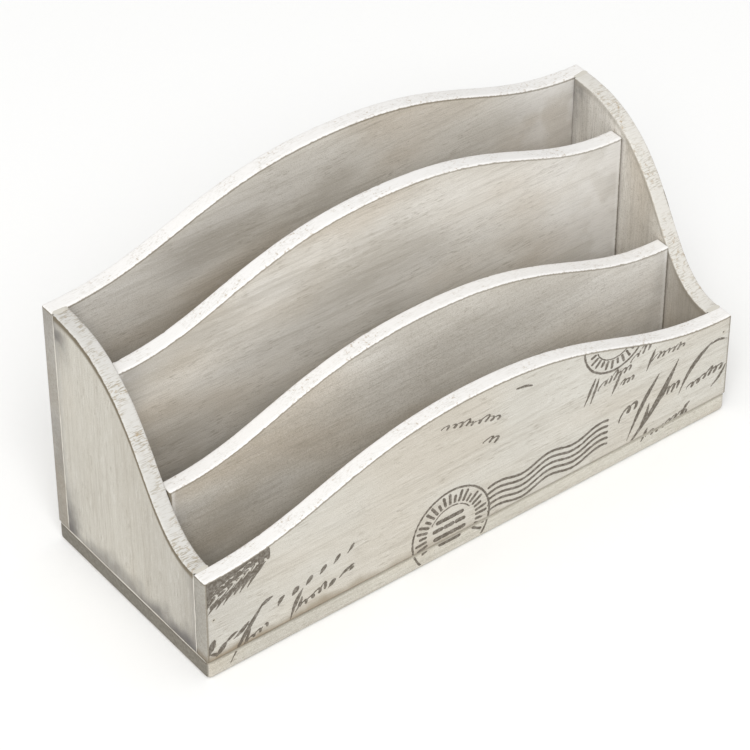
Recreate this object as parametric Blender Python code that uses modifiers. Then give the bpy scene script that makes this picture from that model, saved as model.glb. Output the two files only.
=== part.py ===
"""Desk organizer made of whitewashed boards, nailed together with brads.

Metres, +Z up. X runs along the front, the front faces -Y, and the origin is the middle of the
footprint on the surface that the organizer stands on. "Left" and "right" are seen from the front.
"""

import math

import bmesh
import bpy
from mathutils import Euler, Matrix, Vector
from mathutils.geometry import interpolate_bezier

MM = 0.001

# Overall size
WIDTH = 299.7 * MM
DEPTH = 116.8 * MM
HEIGHT = 165.1 * MM  # top of the back board's crown

# Board thicknesses
BASE_THICKNESS = 10.0 * MM
FRONT_THICKNESS = 8.25 * MM
BACK_THICKNESS = 8.25 * MM
SIDE_THICKNESS = 8.25 * MM
DIVIDER_THICKNESS = 8.25 * MM
JOINT_GAP = 0.3 * MM  # between two boards that meet

# Top edges: every long board rises from its two ends to a crown in the middle
CROWN_RISE = 30.0 * MM
CROWN_PULL = 72.0 * MM  # how far the edge stays nearly level beside the crown
SHOULDER_PULL = 58.0 * MM  # the same at each end of the organizer
FRONT_END_HEIGHT = 57.6 * MM
FRONT_DIVIDER_END_HEIGHT = 79.2 * MM
REAR_DIVIDER_END_HEIGHT = 121.0 * MM
BACK_END_HEIGHT = HEIGHT - CROWN_RISE

# The side panels' curve down from the back board's height to the front board's
SIDE_TOP_PULL = 66.0 * MM
SIDE_FOOT_PULL = 40.0 * MM

# Sanded edges
EDGE_ROUND = 0.6 * MM
BASE_ROUND = 2.0 * MM  # bottom edges and upright corners of the base
CURVE_STEPS = 20  # straight facets in each S of a top edge

# Brads
BRAD_LENGTH = 25.0 * MM
BRAD_HEAD_RADIUS = 0.9 * MM
BRAD_HEAD_THICKNESS = 0.6 * MM
BRAD_SHANK_RADIUS = 0.6 * MM
BRAD_POINT_LENGTH = 2.0 * MM
BRAD_SET_DEPTH = 0.4 * MM  # head below the face of the board
BRAD_CLEARANCE = 0.3 * MM  # between a brad and its bore, all round
BORE_OVERRUN = 2.0 * MM  # cutter beyond the face that a brad enters
BRAD_SIDES = 10
BRAD_END_DISTANCE = 8.5 * MM  # from a joint's end to its last brad
BASE_BRAD_END_DISTANCE = 24.0 * MM  # from the inside of a side panel to a row's last brad
BRADS_FRONT_TO_SIDE = 3
BRADS_BACK_TO_SIDE = 3
BRADS_BASE_TO_SIDE = 2
BRADS_BASE_TO_FRONT = 4
BRADS_BASE_TO_BACK = 4
BRADS_BASE_TO_DIVIDER = 3

# Places that follow from the sizes above
HALF_WIDTH = WIDTH / 2
FRONT_FACE_Y = -DEPTH / 2
BACK_FACE_Y = DEPTH / 2
FRONT_BOARD_Y = FRONT_FACE_Y + FRONT_THICKNESS / 2
BACK_BOARD_Y = BACK_FACE_Y - BACK_THICKNESS / 2
SIDE_X = HALF_WIDTH - SIDE_THICKNESS / 2
SIDE_FRONT_Y = FRONT_FACE_Y + FRONT_THICKNESS + JOINT_GAP
SIDE_BACK_Y = BACK_FACE_Y - BACK_THICKNESS - JOINT_GAP
UPRIGHT_BOTTOM = BASE_THICKNESS + JOINT_GAP
SLOT_WIDTH = (DEPTH - FRONT_THICKNESS - BACK_THICKNESS - 2 * DIVIDER_THICKNESS) / 3
FRONT_DIVIDER_Y = FRONT_FACE_Y + FRONT_THICKNESS + SLOT_WIDTH + DIVIDER_THICKNESS / 2
REAR_DIVIDER_Y = FRONT_DIVIDER_Y + DIVIDER_THICKNESS + SLOT_WIDTH
DIVIDER_HALF_LENGTH = HALF_WIDTH - SIDE_THICKNESS - JOINT_GAP

FACING_Y = Euler((math.radians(90), 0, 0))  # a flat outline stood up along X
FACING_X = Euler((math.radians(90), 0, math.radians(90)))  # the same along Y

TINTS = {
    "base_board": (0.42, 0.39, 0.32),
    "back_board": (0.56, 0.53, 0.46),
    "front_board": (0.62, 0.60, 0.54),
    "left_side_panel": (0.58, 0.56, 0.49),
    "right_side_panel": (0.55, 0.51, 0.43),
    "front_divider": (0.60, 0.57, 0.50),
    "rear_divider": (0.57, 0.55, 0.48),
}
STEEL_TINT = (0.30, 0.29, 0.27)


def clear_scene():
    for obj in list(bpy.data.objects):
        bpy.data.objects.remove(obj, do_unlink=True)


def new_collection(name):
    made = bpy.data.collections.new(name)
    bpy.context.scene.collection.children.link(made)
    return made


def material(name, tint, roughness, metallic=0.0):
    made = bpy.data.materials.new(name)
    made.use_nodes = True
    made.diffuse_color = (*tint, 1.0)
    shader = made.node_tree.nodes["Principled BSDF"]
    shader.inputs["Base Color"].default_value = (*tint, 1.0)
    shader.inputs["Roughness"].default_value = roughness
    shader.inputs["Metallic"].default_value = metallic
    return made


def evaluated_mesh(obj, name):
    """The object's evaluated shape as a mesh of its own, with loose caps welded on."""
    bpy.context.view_layer.update()
    graph = bpy.context.evaluated_depsgraph_get()
    mesh = bpy.data.meshes.new_from_object(obj.evaluated_get(graph))
    mesh.name = name
    shape = bmesh.new()
    shape.from_mesh(mesh)
    bmesh.ops.remove_doubles(shape, verts=shape.verts, dist=0.00001)
    bmesh.ops.recalc_face_normals(shape, faces=shape.faces)
    shape.to_mesh(mesh)
    shape.free()
    return mesh


def s_curve(start, end, start_pull, end_pull):
    """Points of an S between two (along, up) points, level where it leaves and where it arrives."""
    way = math.copysign(1.0, end[0] - start[0])
    knots = [Vector((*start, 0)), Vector((*end, 0))]
    handles = [Vector((way * start_pull, 0, 0)), Vector((-way * end_pull, 0, 0))]
    points = interpolate_bezier(
        knots[0], knots[0] + handles[0], knots[1] + handles[1], knots[1], CURVE_STEPS + 1
    )
    return [(point.x, point.y) for point in points]


def cut_board(name, outline, thickness, place, facing, collection):
    """A board of this outline, stood up at its place, with sanded edges."""
    curve = bpy.data.curves.new(name, "CURVE")
    curve.dimensions = "2D"
    curve.fill_mode = "BOTH"
    curve.extrude = thickness / 2
    spline = curve.splines.new("POLY")
    spline.points.add(len(outline) - 1)
    for point, (along, up) in zip(spline.points, outline):
        point.co = (along, up, 0, 1)
    spline.use_cyclic_u = True
    drawn = bpy.data.objects.new(name + "_outline", curve)
    drawn.location = place
    drawn.rotation_euler = facing
    collection.objects.link(drawn)
    board = bpy.data.objects.new(name, evaluated_mesh(drawn, name))
    board.matrix_world = drawn.matrix_world
    collection.objects.link(board)
    bpy.data.objects.remove(drawn, do_unlink=True)
    bpy.data.curves.remove(curve)
    rounding = board.modifiers.new("sanded_edges", "BEVEL")
    rounding.width = EDGE_ROUND
    rounding.segments = 1
    rounding.limit_method = "ANGLE"
    rounding.angle_limit = math.radians(40)
    return board


def crowned_board(name, half_length, end_height, thickness, y, collection):
    """A long board whose top edge rises from both ends to the crown."""
    crown = (0.0, end_height + CROWN_RISE)
    shoulder = SHOULDER_PULL - (HALF_WIDTH - half_length)
    right = s_curve(crown, (half_length, end_height), CROWN_PULL, shoulder)
    left = [(-along, up) for along, up in reversed(right[1:])]
    outline = [(-half_length, UPRIGHT_BOTTOM), (half_length, UPRIGHT_BOTTOM)]
    outline += reversed(left + right)
    return cut_board(name, outline, thickness, (0, y, 0), FACING_Y, collection)


def side_panel(name, x, collection):
    """A panel between the front and back boards, flush with the ends of both."""
    top = s_curve(
        (SIDE_BACK_Y, BACK_END_HEIGHT),
        (SIDE_FRONT_Y, FRONT_END_HEIGHT),
        SIDE_TOP_PULL,
        SIDE_FOOT_PULL,
    )
    outline = [(SIDE_FRONT_Y, UPRIGHT_BOTTOM), (SIDE_BACK_Y, UPRIGHT_BOTTOM)] + top
    return cut_board(name, outline, SIDE_THICKNESS, (x, 0, 0), FACING_X, collection)


def base_board(name, collection):
    """The flat board that everything stands on, rounded more at the floor than at its top."""
    shape = bmesh.new()
    size = Matrix.Diagonal((WIDTH, DEPTH, BASE_THICKNESS, 1))
    bmesh.ops.create_cube(shape, size=1, matrix=size)
    weights = shape.edges.layers.float.new("bevel_weight_edge")
    for edge in shape.edges:
        on_top = all(vert.co.z > 0 for vert in edge.verts)
        edge[weights] = EDGE_ROUND / BASE_ROUND if on_top else 1.0
    mesh = bpy.data.meshes.new(name)
    shape.to_mesh(mesh)
    shape.free()
    board = bpy.data.objects.new(name, mesh)
    board.location = (0, 0, BASE_THICKNESS / 2)
    collection.objects.link(board)
    rounding = board.modifiers.new("rounded_edges", "BEVEL")
    rounding.width = BASE_ROUND
    rounding.segments = 3
    rounding.limit_method = "WEIGHT"
    return board


def turned_mesh(name, profile, collection):
    """A solid of revolution about +Z, from its (radius, height) profile given top to bottom."""
    mesh = bpy.data.meshes.new(name + "_profile")
    points = [(radius, 0, height) for radius, height in profile]
    mesh.from_pydata(points, [(i, i + 1) for i in range(len(points) - 1)], [])
    drawn = bpy.data.objects.new(name + "_profile", mesh)
    collection.objects.link(drawn)
    screw = drawn.modifiers.new("turned", "SCREW")
    screw.steps = BRAD_SIDES
    screw.render_steps = BRAD_SIDES
    screw.use_merge_vertices = True
    screw.merge_threshold = 0.00001
    made = evaluated_mesh(drawn, name)
    bpy.data.objects.remove(drawn, do_unlink=True)
    bpy.data.meshes.remove(mesh)
    return made


def brad_mesh(collection):
    """A brad with its head at the top, its axis on +Z and the face of the board at z = 0."""
    head_top = -BRAD_SET_DEPTH
    head_bottom = head_top - BRAD_HEAD_THICKNESS
    tip = head_top - BRAD_LENGTH
    profile = [
        (0, head_top),
        (BRAD_HEAD_RADIUS, head_top),
        (BRAD_HEAD_RADIUS, head_bottom),
        (BRAD_SHANK_RADIUS, head_bottom),
        (BRAD_SHANK_RADIUS, tip + BRAD_POINT_LENGTH),
        (0, tip),
    ]
    return turned_mesh("brad", profile, collection)


def bore_mesh(collection):
    """The space around a brad, open at the face of the board."""
    mouth = BRAD_HEAD_RADIUS + BRAD_CLEARANCE
    shank = BRAD_SHANK_RADIUS + BRAD_CLEARANCE
    pocket_bottom = -BRAD_SET_DEPTH - BRAD_HEAD_THICKNESS - BRAD_CLEARANCE
    end = -BRAD_SET_DEPTH - BRAD_LENGTH - BRAD_CLEARANCE
    profile = [
        (0, BORE_OVERRUN),
        (mouth, BORE_OVERRUN),
        (mouth, pocket_bottom),
        (shank, pocket_bottom),
        (shank, end),
        (0, end),
    ]
    return turned_mesh("bore", profile, collection)


def spread(low, high, count):
    """This many places, evenly from low to high."""
    return [low + (high - low) * i / (count - 1) for i in range(count)]


def brad_places():
    """Each brad's name, the point where it enters the wood, and its rotation."""
    places = []
    into_front = Euler((math.radians(90), 0, 0))
    into_back = Euler((math.radians(-90), 0, 0))
    upwards = Euler((math.radians(180), 0, 0))
    low = UPRIGHT_BOTTOM + BRAD_END_DISTANCE
    for side, x in (("left", -SIDE_X), ("right", SIDE_X)):
        high = FRONT_END_HEIGHT - BRAD_END_DISTANCE
        for i, z in enumerate(spread(low, high, BRADS_FRONT_TO_SIDE), 1):
            places.append((f"brad_front_{side}_{i}", (x, FRONT_FACE_Y, z), into_front))
        high = BACK_END_HEIGHT - BRAD_END_DISTANCE
        for i, z in enumerate(spread(low, high, BRADS_BACK_TO_SIDE), 1):
            places.append((f"brad_back_{side}_{i}", (x, BACK_FACE_Y, z), into_back))
        first = SIDE_FRONT_Y + BASE_BRAD_END_DISTANCE
        last = SIDE_BACK_Y - BASE_BRAD_END_DISTANCE
        for i, y in enumerate(spread(first, last, BRADS_BASE_TO_SIDE), 1):
            places.append((f"brad_base_{side}_{i}", (x, y, 0), upwards))
    reach = DIVIDER_HALF_LENGTH - BASE_BRAD_END_DISTANCE
    rows = (
        ("front", FRONT_BOARD_Y, BRADS_BASE_TO_FRONT),
        ("back", BACK_BOARD_Y, BRADS_BASE_TO_BACK),
        ("front_divider", FRONT_DIVIDER_Y, BRADS_BASE_TO_DIVIDER),
        ("rear_divider", REAR_DIVIDER_Y, BRADS_BASE_TO_DIVIDER),
    )
    for row, y, count in rows:
        for i, x in enumerate(spread(-reach, reach, count), 1):
            places.append((f"brad_base_{row}_{i}", (x, y, 0), upwards))
    return places


def drive_brads(boards, parts, cutters):
    """Puts the brads in, and bores every board where they pass through it."""
    steel = material("brad_steel", STEEL_TINT, 0.45, 1.0)
    shape = brad_mesh(parts)
    shape.materials.append(steel)
    shape.shade_smooth()
    shape.set_sharp_from_angle(angle=math.radians(35))
    bore = bore_mesh(cutters)
    bores = bmesh.new()
    for name, point, facing in brad_places():
        brad = bpy.data.objects.new(name, shape)
        brad.location = point
        brad.rotation_euler = facing
        parts.objects.link(brad)
        first = len(bores.verts)
        bores.from_mesh(bore)
        bores.verts.ensure_lookup_table()
        turn = Matrix.LocRotScale(Vector(point), facing, None)
        bmesh.ops.transform(bores, matrix=turn, verts=bores.verts[first:])
    cutter_mesh = bpy.data.meshes.new("brad_bores")
    bores.to_mesh(cutter_mesh)
    bores.free()
    bpy.data.meshes.remove(bore)
    cutter = bpy.data.objects.new("brad_bores", cutter_mesh)
    cutter.display_type = "WIRE"
    cutter.hide_render = True
    cutters.objects.link(cutter)
    for board in boards:
        cut = board.modifiers.new("brad_bores", "BOOLEAN")
        cut.operation = "DIFFERENCE"
        cut.solver = "EXACT"
        cut.object = cutter


def main():
    clear_scene()
    parts = new_collection("desk_organizer")
    cutters = new_collection("cutters")
    outer = HALF_WIDTH
    inner = DIVIDER_HALF_LENGTH
    crowned = (
        ("front_board", outer, FRONT_END_HEIGHT, FRONT_THICKNESS, FRONT_BOARD_Y),
        ("back_board", outer, BACK_END_HEIGHT, BACK_THICKNESS, BACK_BOARD_Y),
        ("front_divider", inner, FRONT_DIVIDER_END_HEIGHT, DIVIDER_THICKNESS, FRONT_DIVIDER_Y),
        ("rear_divider", inner, REAR_DIVIDER_END_HEIGHT, DIVIDER_THICKNESS, REAR_DIVIDER_Y),
    )
    boards = [base_board("base_board", parts)]
    boards += [crowned_board(*sizes, parts) for sizes in crowned]
    boards += [side_panel("left_side_panel", -SIDE_X, parts)]
    boards += [side_panel("right_side_panel", SIDE_X, parts)]
    for board in boards:
        board.data.materials.clear()
        board.data.materials.append(material(board.name + "_wood", TINTS[board.name], 0.7))
    drive_brads(boards, parts, cutters)


main()
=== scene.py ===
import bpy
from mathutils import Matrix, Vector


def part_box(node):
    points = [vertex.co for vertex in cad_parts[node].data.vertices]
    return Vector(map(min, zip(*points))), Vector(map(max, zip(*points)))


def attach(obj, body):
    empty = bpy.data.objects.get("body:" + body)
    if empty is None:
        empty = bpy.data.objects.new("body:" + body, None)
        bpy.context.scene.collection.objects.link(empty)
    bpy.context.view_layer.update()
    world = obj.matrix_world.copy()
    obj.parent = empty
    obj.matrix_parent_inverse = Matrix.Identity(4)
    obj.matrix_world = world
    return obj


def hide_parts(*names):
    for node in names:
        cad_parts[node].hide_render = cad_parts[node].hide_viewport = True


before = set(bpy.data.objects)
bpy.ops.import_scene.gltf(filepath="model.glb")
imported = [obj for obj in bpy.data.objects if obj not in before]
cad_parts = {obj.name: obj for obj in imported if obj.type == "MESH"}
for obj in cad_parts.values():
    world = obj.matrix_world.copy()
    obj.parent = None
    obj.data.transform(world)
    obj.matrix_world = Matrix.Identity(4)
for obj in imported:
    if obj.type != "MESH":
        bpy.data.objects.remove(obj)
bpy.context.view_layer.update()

import math
import random

import bmesh
import bpy
import numpy as np
from bpy.props import FloatProperty, FloatVectorProperty, PointerProperty
from mathutils import Vector, noise

bl_info = {
    "name": "Whitewashed Desk Organizer",
    "version": (1, 0, 0),
    "blender": (4, 5, 0),
    "location": "View3D > Sidebar > Organizer",
    "description": "Builds the boards, brads, paint and print of a three-slot desk organizer",
    "category": "Add Mesh",
}

MM = 0.001
BODY = "root"

# ---------------------------------------------------------------------------------------------
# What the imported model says: every place and every board's size comes from here.

BOX = {name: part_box(name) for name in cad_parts}
BRADS = sorted(name for name in BOX if name.startswith("brad_"))
FRONT_FACE_Y = BOX["front_board"][0].y
BACK_FACE_Y = BOX["back_board"][1].y
HALF_WIDTH = BOX["back_board"][1].x
SEAM_Z = (BOX["base_board"][1].z + BOX["front_board"][0].z) / 2

# ---------------------------------------------------------------------------------------------
# How fine the skins are.

STATION_SPACING = 1.25 * MM  # between two cross-sections of a board
ROW_SPACING = 2.6 * MM  # between two rows on a board's face
TOP_STEPS = 6  # quads across the thickness of a top edge
ARC_STEPS = 4  # quads round an eased arris
END_ANGLES = (14, 30, 48, 66, 90)  # where the rounding of a board's end is cut, in degrees
EDGE_SAMPLES = 400  # samples of a shaped top edge
BORE_SIDES = 20
SWAY = 0.05 * MM  # how far a sawn and brushed face is out of true
SWAY_LENGTH = 28 * MM
RARE_KNOCK = 0.46  # only where the noise is above this is an arris dented
CRISP_ANGLE = math.radians(38)  # an edge that bends more than this stays sharp
FEWEST_FACES = 100  # a bored board with fewer faces than this has been lost

# Brads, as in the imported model.
SHANK_RADIUS = 0.6 * MM
HEAD_THICKNESS = 0.6 * MM
BORE_CLEARANCE = 0.3 * MM
BORE_OVERRUN = 2.0 * MM  # how far a cutter starts outside the board
OPEN_HEADS = ("brad_front_left_2", "brad_front_right_3")  # two heads that show through their filler
HEAD_SHOWING = 0.5 * MM  # radius of what shows of them


def linear(code):
    """A colour from its sRGB hex value, as the linear numbers that shaders take."""
    parts = [int(code[i : i + 2], 16) / 255 for i in (1, 3, 5)]
    return tuple(p / 12.92 if p <= 0.04045 else ((p + 0.055) / 1.055) ** 2.4 for p in parts)


def colour(name, description, code):
    """A colour the user can change."""
    return FloatVectorProperty(
        name=name, description=description, subtype="COLOR", size=3, min=0, max=1, default=linear(code)
    )


def size(name, description, millimetres):
    """A length the user can change."""
    return FloatProperty(
        name=name, description=description, default=millimetres * MM, min=0, unit="LENGTH", precision=4
    )


# ---------------------------------------------------------------------------------------------
# Settings


class ORGANIZER_PG_sizes(bpy.types.PropertyGroup):
    """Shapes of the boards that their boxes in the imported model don't give."""

    crown_rise: size("Crown rise", "From a board's ends up to the crown of its top edge", 30)
    crown_pull: size("Crown pull", "How far the top edge stays nearly level beside the crown", 72)
    shoulder_pull: size("Shoulder pull", "The same at each end of the organizer", 58)
    side_top_pull: size("Side top pull", "How far a side panel's edge stays level at the back", 66)
    side_foot_pull: size("Side foot pull", "The same at the front", 40)
    edge_round: size("Edge rounding", "Radius of the sanded arrises", 1.1)
    base_round: size("Base rounding", "Radius of the base board's bottom edges and corners", 2.4)
    wear: size("Wear", "Deepest of the ordinary rubs along an arris", 0.28)
    dent: size("Dents", "Deepest of the small dents along an arris", 0.5)
    bead_width: size("Paint bead width", "Width of the ridge of paint left along a joint", 0.75)
    bead_height: size("Paint bead height", "How far that ridge stands off the boards", 0.11)


class ORGANIZER_PG_colours(bpy.types.PropertyGroup):
    """Colours of the wood, the washes on it, the ink and the stage."""

    front_wash: colour("Front wash", "White wash on the printed front face", "#D5D2C9")
    # Partly the boards' own wash, partly painted light: lighter than the front's, against the shade in the
    # slots.
    board_wash_and_painted_light: colour("Board wash", "White wash on the dividers and the back board", "#E6E2DA")
    panel_wash: colour("Panel wash", "White wash on the outside of the side panels", "#CBC7BC")
    # Painted light: the panels' inner faces take a lighter copy of their wash, against the shade inside the
    # organizer.
    panel_inner_painted_light: colour("Inner panel wash", "The same on their inside", "#F1EDE5")
    base_wash: colour("Base wash", "Thin wash on the base board", "#D0CCC0")
    taupe_glaze: colour("Taupe glaze", "Brown-grey glaze rubbed into the wash in broad clouds", "#A79F90")
    grey_glaze: colour("Grey glaze", "Cool grey glaze left in corners and along joints", "#827F7F")
    dark_glaze: colour("Dark glaze", "The same where it was never wiped off", "#66625F")
    foot_glaze: colour("Foot glaze", "Brown glaze caught along the joint with the base board", "#8C7D66")
    end_grain: colour("End grain", "Ends of the boards, where the wash has sunk in", "#6E695E")
    grain: colour("Grain", "The open grain that the glaze darkens", "#8A7F6E")
    edge_paint: colour("Edge paint", "Thick white paint on the top edges", "#F2F0ED")
    panel_edge_paint: colour("Panel edge paint", "The same, drunk by the side panels' end grain", "#D9D6CF")
    # Painted shade: the same edge paint, made darker on the left panel.
    left_edge_paint_and_painted_shade: colour("Thin edge paint", "The same where it went on thin, on the left panel", "#D0CEC9")
    panel_edge_shade: colour("Panel edge shade", "End grain that shows through the paint there", "#A39A88")
    bead_paint: colour("Bead paint", "Ridges of dried paint along the joints", "#D3CFC5")
    filler: colour("Filler", "Painted filler over the brad heads", "#C6C1B5")
    edge_shade: colour("Edge shade", "The same paint where it is thin", "#CCC8BE")
    bare_wood: colour("Bare wood", "Wood where the white is rubbed away", "#AF9A7C")
    arris_line: colour("Arris line", "Dark glaze caught just under a top edge", "#726855")
    ink: colour("Ink", "Stamping ink of the printed marks", "#564D41")
    brad: colour("Brad", "Dulled steel of the brad heads", "#5E5850")
    floor: colour("Floor", "The pale floor", "#FDFDFC")


class ORGANIZER_PG_stage(bpy.types.PropertyGroup):
    """The camera and the lights."""

    azimuth: FloatProperty(
        name="Azimuth", description="Turn of the camera about the organizer", subtype="ANGLE",
        default=math.radians(-37.49),
    )
    elevation: FloatProperty(
        name="Elevation", description="Height of the camera above the horizon", subtype="ANGLE",
        default=math.radians(39.71),
    )
    distance: size("Distance", "From the camera to the point it looks at", 1501)
    focal_length: FloatProperty(
        name="Focal length", description="Lens, in millimetres on a 36 mm sensor", default=159.9, min=1
    )
    aim: FloatVectorProperty(
        name="Aim", description="The point the camera looks at", subtype="XYZ", unit="LENGTH",
        default=(-0.01425, 0.0, 0.0655),
    )
    sky: FloatProperty(name="Sky", description="Strength of the even light", default=0.64, min=0)
    key_power: FloatProperty(name="Key", description="Big soft light, in watts", default=150, min=0)
    fill_power: FloatProperty(name="Fill", description="Soft light at the left, in watts", default=10, min=0)


# ---------------------------------------------------------------------------------------------
# Materials


def add(tree, kind, inputs=None, out=0, **settings):
    """Adds a node with its settings, fills its inputs with values or outputs, and returns an output."""
    made = tree.nodes.new(kind)
    for name, value in settings.items():
        setattr(made, name, value)
    for name, value in (inputs or {}).items():
        if isinstance(value, bpy.types.NodeSocket):
            tree.links.new(value, made.inputs[name])
        elif hasattr(value, "__len__") and len(value) == 3 and made.inputs[name].type == "RGBA":
            made.inputs[name].default_value = (*value, 1.0)
        else:
            made.inputs[name].default_value = value
    return made.outputs[out] if made.outputs else made


def new_tree(name):
    """A material with an empty node tree."""
    material = bpy.data.materials.new(name)
    material.use_nodes = True
    material.node_tree.nodes.clear()
    return material, material.node_tree


def close_tree(tree, surface, roughness, bump, **sockets):
    """Ends a tree in a surface shader: colour, roughness and bump come from nodes, the rest are constants."""
    shader = {"Base Color": surface, "Roughness": roughness, "Normal": bump, **sockets}
    add(tree, "ShaderNodeOutputMaterial", {"Surface": add(tree, "ShaderNodeBsdfPrincipled", shader)})


SMOOTH = {"interpolation_type": "SMOOTHSTEP"}
# What each point of a board knows about its place: see mark.
FACTS = ("below_top", "above_foot", "from_end", "inward", "share_along")


def whitewashed_wood(
    name, colours, wash, grain_axis, inner_wash_painted_light=None, clouds=0.5, foot=(0.5, 8.0, 1.0), foot_colour=None,
    ends=(0.2, 8.0), end_face=0.5, line=(0.6, 0.55, 1.0), top_glaze=0.2, crack=0.0, corner=0.0, smudge=0.0,
    seam=0.0, pale_end=0.0, slot=0.0, painted_edge=1.0, edge=None, tints=(0.34, 0.32), offset=0.0, ink=None,
):
    """Softwood, brushed with thinned white paint, glazed brown-grey and sanded back.

    To the eye that is a chalky off-white with broad taupe clouds, faint streaks and short dark pores along
    the grain, glaze left along the joints, near-white top edges with worn spots, and a dark line of glaze
    just under them. Some finishes also carry painted light and shade: a lighter wash on inner faces, a whiter
    right end, darkening down in the slots and a darker edge paint. All distances in it are millimetres.
    foot is (strength, reach, share of the strength left at the far end), ends is (strength, reach), line is
    (strength, reach, share of the strength left on the inner face), tints is (warm strength, cool strength),
    and edge is (paint, what shows through it, how much of that, how much is worn to the wood). With ink, the
    same wood is seen through a print.
    """
    material, tree = new_tree(name)
    foot_most, foot_reach, foot_far = foot
    ends_most, ends_reach = ends
    line_most, line_reach, line_inside = line
    warm_most, cool_most = tints
    edge = edge or (colours.edge_paint, colours.edge_shade, 0.4, 0.62)
    edge_paint, edge_shade, edge_ticks, edge_wear = edge

    # Coordinates in millimetres, drawn out along the grain by each factor in turn, the last one along X.
    own = add(tree, "ShaderNodeTexCoord", out="Object")
    drawn = []
    for length, axis in ((1, grain_axis), (2.4, grain_axis), (9, grain_axis), (38, grain_axis), (7, 0)):
        scale = [1000.0, 1000.0, 1000.0]
        scale[axis] /= length
        moved = {"Vector": own, "Location": (offset, offset * 0.7, offset * 0.4), "Scale": scale}
        drawn.append(add(tree, "ShaderNodeMapping", moved))
    even, cloudy, long, hair, across = drawn
    below, above, from_end, inward, share = (
        add(tree, "ShaderNodeAttribute", out="Fac", attribute_name=fact) for fact in FACTS
    )

    # Each one is (coordinates, size in millimetres, detail, roughness, distortion).
    broad, patch, band, figure, streak, fine, dash, tooth, crumb, tick = (
        add(tree, "ShaderNodeTexNoise", {
            "Vector": vector, "Scale": 1 / width, "Detail": detail, "Roughness": rough, "Distortion": bend,
        })
        for vector, width, detail, rough, bend in (
            (cloudy, 40, 3.0, 0.5, 0.3),
            (even, 15, 3.0, 0.5, 0.0),
            (hair, 3.2, 3.0, 0.5, 0.0),
            (hair, 4.5, 1.0, 0.5, 0.15),
            (long, 0.9, 3.0, 0.6, 0.0),
            (hair, 0.45, 2.0, 0.5, 0.0),
            (long, 0.5, 1.0, 0.5, 0.0),
            (even, 0.42, 2.0, 0.6, 0.0),
            (even, 1.6, 4.0, 0.7, 0.0),
            (across, 0.5, 2.0, 0.5, 0.0),
        )
    )
    tint = add(tree, "ShaderNodeTexNoise", {"Vector": cloudy, "Scale": 1 / 48, "Detail": 2.0}, out="Color")
    warmth = add(tree, "ShaderNodeSeparateColor", {0: tint}, out=1)
    speck = add(tree, "ShaderNodeTexVoronoi", {"Vector": even, "Scale": 1 / 12, "Randomness": 1.0})
    off_middle = add(tree, "ShaderNodeMath", {0: figure, 1: 0.5}, operation="SUBTRACT")
    off_line = add(tree, "ShaderNodeMath", {0: off_middle}, operation="ABSOLUTE")

    # How far a point is from an edge, with the uneven border that a brush and sandpaper leave.
    uneven = []
    for distance, by, width in (
        (below, crumb, 1.0), (above, crumb, 1.0), (from_end, crumb, 1.0),
        (below, patch, 9.0), (above, patch, 1.6 * foot_reach), (from_end, patch, 1.6 * ends_reach),
    ):
        sway = add(tree, "ShaderNodeMath", {0: by, 1: width, 2: -0.5 * width}, operation="MULTIPLY_ADD")
        uneven.append(add(tree, "ShaderNodeMath", {0: distance, 1: sway}, operation="ADD"))
    ragged_below, ragged_above, ragged_end, cloudy_below, cloudy_above, cloudy_end = uneven

    # Glaze that was never wiped out of the corners lies by the top or by the foot.
    by_either = None
    if smudge:
        near_top = {0: cloudy_below, 1: 8.0, 2: 34.0, 3: 1.0, 4: 0.0}
        near_foot = {0: cloudy_above, 1: 4.0, 2: 40.0, 3: 1.0, 4: 0.0}
        by_top = add(tree, "ShaderNodeMapRange", near_top, **SMOOTH)
        by_foot = add(tree, "ShaderNodeMapRange", near_foot, **SMOOTH)
        by_either = add(tree, "ShaderNodeMath", {0: by_top, 1: by_foot}, operation="MAXIMUM")

    # Under a print, the paint on the edges gives only its relief.
    edge_colours = (colours.arris_line, edge_paint, edge_shade, colours.bare_wood)
    line_colour, paint_colour, shade_colour, worn_colour = (None,) * 4 if ink else edge_colours

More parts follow.
